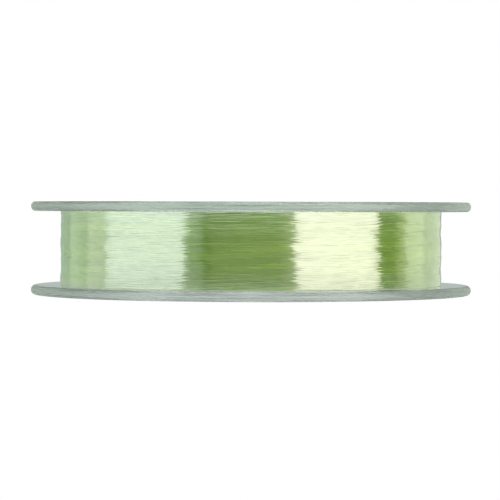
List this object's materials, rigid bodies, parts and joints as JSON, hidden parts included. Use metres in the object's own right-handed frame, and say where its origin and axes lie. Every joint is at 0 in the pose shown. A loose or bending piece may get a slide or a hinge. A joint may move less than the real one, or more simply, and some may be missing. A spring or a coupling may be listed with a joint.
{
  "type": "fishing line spool",
  "caption": "Low round spool of clear plastic, full of pale green monofilament fishing line, with flanges that pull off its core.",
  "frame": {"origin": "on the spool's axis, in the plane of the lower flange's outer face, on which the spool lies", "axes": "+Z along the spool's axis, from the lower flange to the upper flange; the joined end of the line is at the back, towards +Y"},
  "size_m": [0.1, 0.1, 0.021],
  "materials": {
    "clear_polystyrene": "clear, polished mould, faint grey-green tint",
    "nylon_line": "glossy translucent strands, laid side by side",
    "clear_tape": "thin glossy film",
    "label_film": "satin printed film"
  },
  "bodies": {
    "base": {"lower_flange": "clear_polystyrene"},
    "wound_core": {"core_barrel": "clear_polystyrene", "line_winding": "nylon_line", "line_start_tape": "clear_tape", "line_tag_end": "nylon_line", "line_end_tape": "clear_tape"},
    "top": {"upper_flange": "clear_polystyrene", "face_label": "label_film"}
  },
  "joints": [
    {"name": "core_lift", "type": "slide", "parent": "base", "child": "wound_core", "axis": [0, 0, 1], "range_m": [0, 0.02]},
    {"name": "upper_flange_lift", "type": "slide", "parent": "wound_core", "child": "top", "axis": [0, 0, 1], "range_m": [0, 0.02]}
  ]
}
